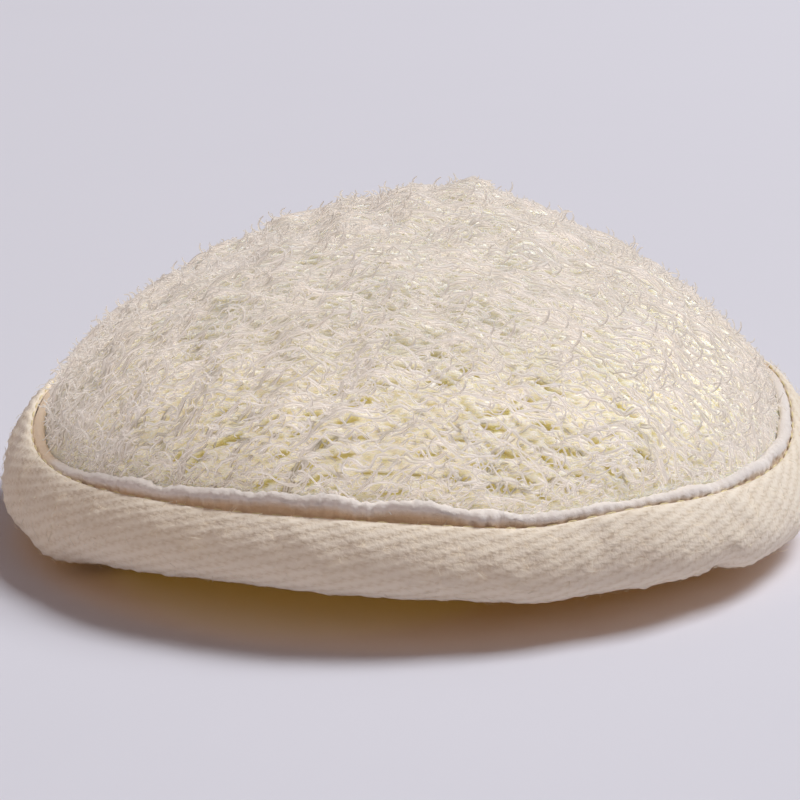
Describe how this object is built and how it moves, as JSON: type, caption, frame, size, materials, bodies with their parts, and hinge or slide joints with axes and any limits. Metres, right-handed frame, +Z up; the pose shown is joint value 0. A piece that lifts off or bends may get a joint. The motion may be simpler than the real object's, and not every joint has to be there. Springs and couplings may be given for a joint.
{
  "type": "loofah pad",
  "caption": "Hand-sized bath pad of natural loofah: a domed net of plant fibre with a backing cloth, edged in a folded cotton tape.",
  "frame": {"origin": "on the surface that the pad rests on, under the middle of its outline", "axes": "+Z up through the dome, +X along the pad's long way, +Y away from the side that the picture shows"},
  "size_m": [0.1074, 0.09, 0.0436],
  "materials": {
    "luffa": "dry ivory plant fibre, matt with a faint gloss along the strands",
    "cotton_tape": "unbleached cotton twill",
    "white_lining": "soft white fleece",
    "backing": "unbleached cotton cloth",
    "thread": "spun sewing thread"
  },
  "bodies": {
    "root": {"luffa_dome": "luffa", "binding_tape": "cotton_tape", "lining_edge": "white_lining", "backing_cloth": "backing", "seam_thread": "thread"}
  },
  "joints": []
}
